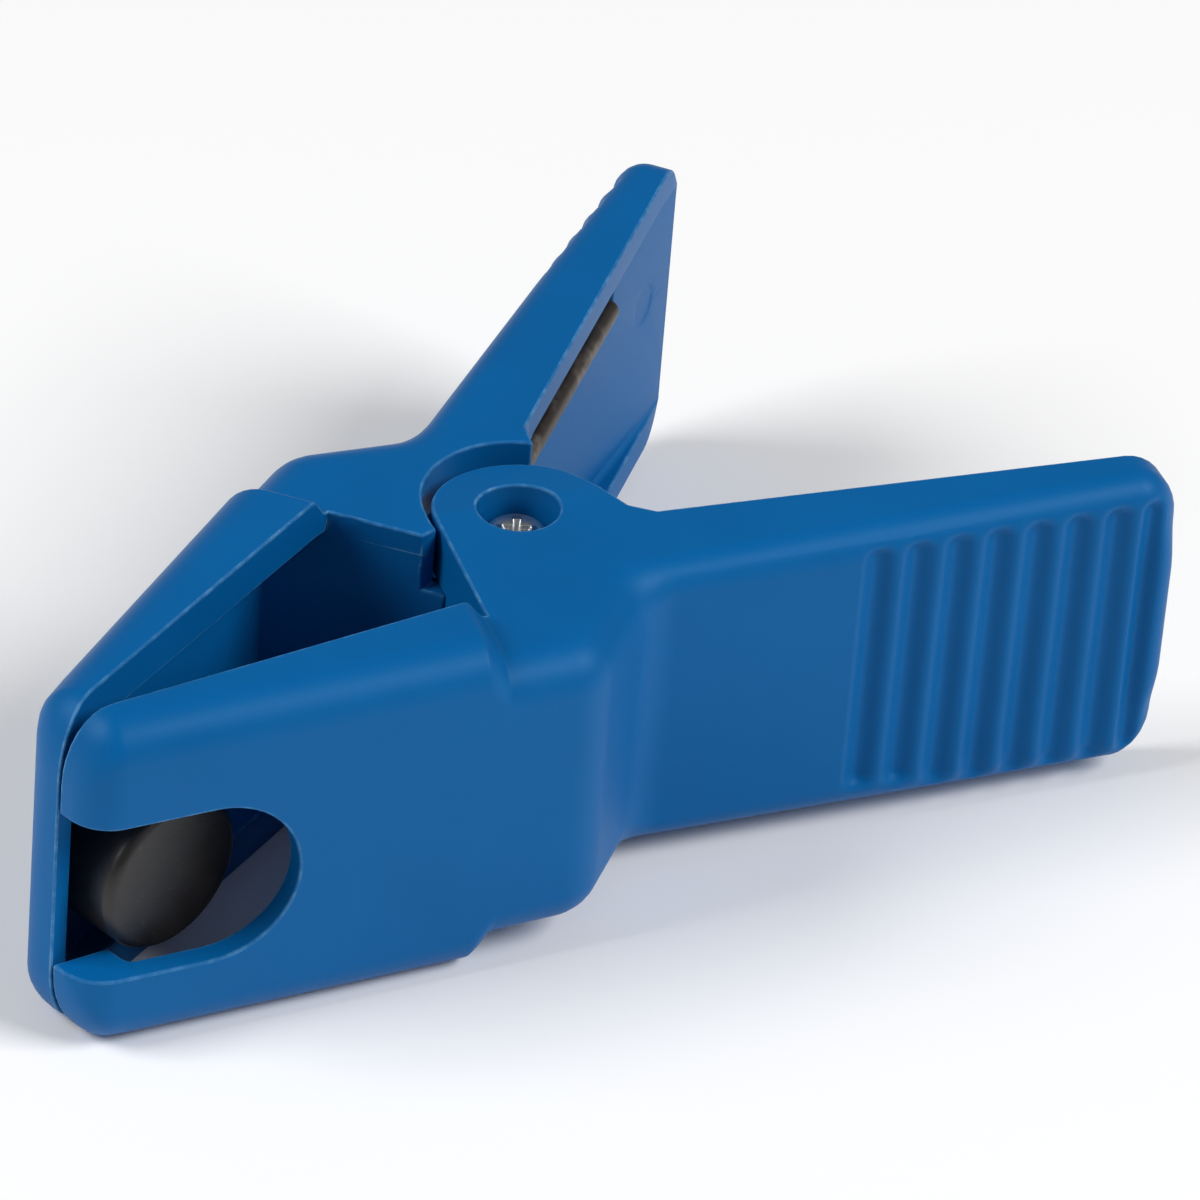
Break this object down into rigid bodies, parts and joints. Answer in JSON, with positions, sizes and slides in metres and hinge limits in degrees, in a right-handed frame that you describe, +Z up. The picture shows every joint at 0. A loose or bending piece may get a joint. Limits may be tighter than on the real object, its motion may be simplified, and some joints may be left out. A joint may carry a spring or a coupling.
{
  "type": "spring clamp",
  "caption": "Blue moulded plastic spring clamp with ribbed handles, a window in one jaw, a black rubber pad and a steel torsion spring",
  "frame": {"origin": "centre of the box round the shut clamp; the pivot axis runs parallel to Z, 1.475 mm to its +X side", "axes": "+X runs from the pivot between the handles, the noses point to -X; +Y is the side of the rear lever, whose jaw carries the pad; +Z is up, parallel to the pivot axis, on the side of the screw head"},
  "size_m": [0.1108, 0.0748, 0.0366],
  "materials": {
    "blue_plastic": "satin moulded",
    "black_rubber": "smooth satin",
    "spring_steel": "dark tempered",
    "zinc_steel": "bright zinc"
  },
  "bodies": {
    "front": {"front_lever": "blue_plastic", "torsion_spring": "spring_steel", "spring_sleeve": "zinc_steel", "pivot_screw": "zinc_steel", "pivot_nut": "zinc_steel"},
    "rear": {"rear_lever": "blue_plastic", "jaw_pad": "black_rubber"}
  },
  "joints": [
    {"name": "pivot", "type": "hinge", "parent": "front", "child": "rear", "pos_m": [0.00147, 0, 0], "axis": [0, 0, -1], "range_deg": [0, 50], "stiffness_Nm_per_rad": 1.5, "springref_deg": -20.05, "deforming": ["torsion_spring"]}
  ]
}
